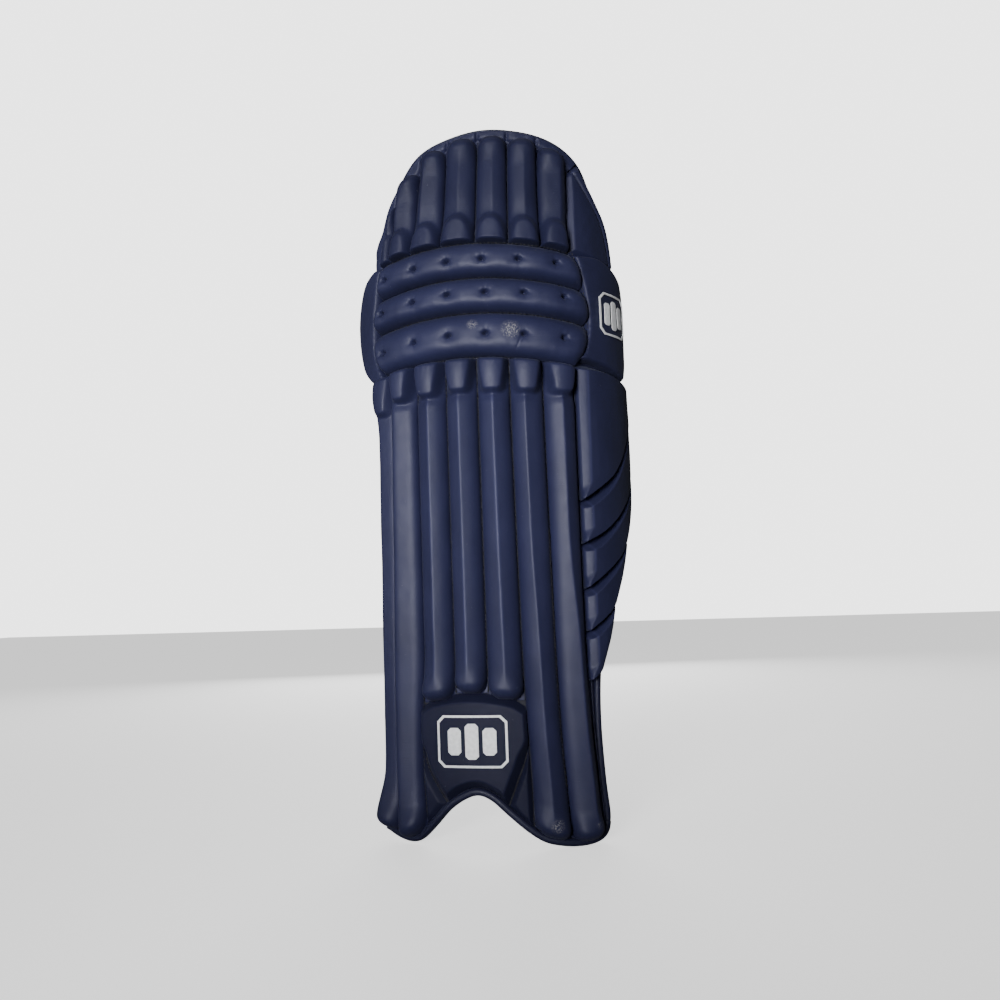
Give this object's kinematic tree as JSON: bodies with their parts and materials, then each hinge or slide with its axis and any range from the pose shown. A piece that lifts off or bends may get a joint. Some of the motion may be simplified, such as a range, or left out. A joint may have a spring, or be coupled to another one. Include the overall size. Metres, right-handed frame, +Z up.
{
  "type": "cricket leg pad",
  "caption": "Batting leg pad with cane-stiffened upright bars, stuffed knee rolls, a domed thigh section, a hinged padded outer wing and hook-and-loop leg straps.",
  "frame": {"origin": "bottom centre of the pad's bounding box, straps fastened", "axes": "+Z up the leg, -Y out of the pad's front, +X towards the outer side of a left leg, where the wing is"},
  "size_m": [0.3174, 0.2337, 0.7715],
  "materials": {
    "pad_face": "satin navy synthetic leather",
    "roll_face": "satin navy synthetic leather",
    "side_face": "dull navy synthetic leather",
    "piping": "dark navy binding",
    "board": "dense foam board behind a dark cover",
    "lining": "brushed navy lining",
    "cane": "split cane",
    "badge": "silver print",
    "webbing": "woven navy webbing",
    "loop_tape": "hook and loop tape",
    "ring": "black moulded ring"
  },
  "bodies": {
    "shin": {"shin_backing": "board", "shin_bar_1": "pad_face", "shin_bar_2": "pad_face", "shin_bar_3": "pad_face", "shin_bar_4": "pad_face", "shin_bar_5": "pad_face", "shin_bar_6": "pad_face", "shin_bar_7": "pad_face", "shin_canes": "cane", "shin_lining_left": "lining", "shin_lining_centre": "lining", "shin_lining_right": "lining", "instep_badge_panel": "pad_face", "instep_emblem": "badge", "instep_gusset_left": "pad_face", "instep_gusset_right": "pad_face", "hem_piping": "piping", "side_gusset_lower": "side_face", "edge_piping_left": "piping", "calf_strap_upper": "webbing", "calf_strap_lower": "webbing", "calf_strap_keepers": "webbing", "calf_strap_rings": "ring", "calf_loop_patches": "loop_tape"},
    "knee_lower": {"knee_roll_lower": "roll_face", "knee_backing_lower": "board", "knee_cup_lower": "lining"},
    "knee_middle": {"knee_roll_middle": "roll_face", "knee_backing_middle": "board", "knee_cup_middle": "lining", "knee_strap": "webbing", "knee_strap_keeper": "webbing", "knee_strap_ring": "ring", "knee_loop_patch": "loop_tape"},
    "knee_upper": {"knee_roll_upper": "roll_face", "knee_backing_upper": "board", "knee_cup_upper": "lining"},
    "thigh": {"thigh_bar_1": "pad_face", "thigh_bar_2": "pad_face", "thigh_bar_3": "pad_face", "thigh_bar_4": "pad_face", "thigh_bar_5": "pad_face", "thigh_bar_6": "pad_face", "thigh_bar_7": "pad_face", "thigh_backing": "board", "thigh_side_panel": "side_face", "thigh_binding": "piping", "thigh_lining": "lining"},
    "shin_wing": {"wing_segment_1": "pad_face", "wing_segment_2": "pad_face", "wing_segment_3": "pad_face", "wing_segment_4": "pad_face", "wing_segment_5": "pad_face", "wing_backing": "lining"},
    "knee_outer_flap": {"knee_wing_outer": "side_face", "knee_wing_emblem": "badge"},
    "knee_inner_flap": {"knee_wing_inner": "side_face"},
    "tail_upper": {"calf_strap_tail_upper": "webbing"},
    "tail_lower": {"calf_strap_tail_lower": "webbing"},
    "tail_knee": {"knee_strap_tail": "webbing"}
  },
  "joints": [
    {"name": "knee_lower_flex", "type": "hinge", "parent": "shin", "child": "knee_lower", "pos_m": [-0.015, 0.0243, 0.512], "axis": [-1, 0, 0], "range_deg": [0, 3], "stiffness_Nm_per_rad": 1.5},
    {"name": "knee_middle_flex", "type": "hinge", "parent": "knee_lower", "child": "knee_middle", "pos_m": [-0.015, 0.0243, 0.561], "axis": [-1, 0, 0], "range_deg": [0, 3], "stiffness_Nm_per_rad": 1.5},
    {"name": "knee_upper_flex", "type": "hinge", "parent": "knee_middle", "child": "knee_upper", "pos_m": [-0.015, 0.0243, 0.6], "axis": [-1, 0, 0], "range_deg": [0, 3], "stiffness_Nm_per_rad": 1.5},
    {"name": "thigh_flex", "type": "hinge", "parent": "knee_upper", "child": "thigh", "pos_m": [-0.015, 0.0243, 0.639], "axis": [-1, 0, 0], "range_deg": [0, 3], "stiffness_Nm_per_rad": 1.5},
    {"name": "shin_wing_hinge", "type": "hinge", "parent": "shin", "child": "shin_wing", "pos_m": [0.09949, -0.06031, 0.324], "axis": [0, 0, -1], "range_deg": [-8, 22], "stiffness_Nm_per_rad": 0.6},
    {"name": "knee_outer_flap_hinge", "type": "hinge", "parent": "knee_middle", "child": "knee_outer_flap", "pos_m": [0.1158, -0.04144, 0.564], "axis": [0, 0, -1], "range_deg": [-6, 12], "stiffness_Nm_per_rad": 0.3},
    {"name": "knee_inner_flap_hinge", "type": "hinge", "parent": "knee_middle", "child": "knee_inner_flap", "pos_m": [-0.12535, -0.06394, 0.569], "axis": [0, 0, 1], "range_deg": [-6, 12], "stiffness_Nm_per_rad": 0.2},
    {"name": "strap_peel_upper", "type": "hinge", "parent": "shin", "child": "tail_upper", "pos_m": [-0.12303, -0.02509, 0.404], "axis": [0, 0, 1], "range_deg": [0, 95]},
    {"name": "strap_peel_lower", "type": "hinge", "parent": "shin", "child": "tail_lower", "pos_m": [-0.12303, -0.02509, 0.234], "axis": [0, 0, 1], "range_deg": [0, 95]},
    {"name": "strap_peel_knee", "type": "hinge", "parent": "knee_middle", "child": "tail_knee", "pos_m": [-0.12303, -0.02509, 0.578], "axis": [0, 0, 1], "range_deg": [0, 95]}
  ],
  "couplings": [
    {"joint": "knee_middle_flex", "follows": "knee_lower_flex", "ratio": 1},
    {"joint": "knee_upper_flex", "follows": "knee_lower_flex", "ratio": 1},
    {"joint": "thigh_flex", "follows": "knee_lower_flex", "ratio": 1}
  ]
}
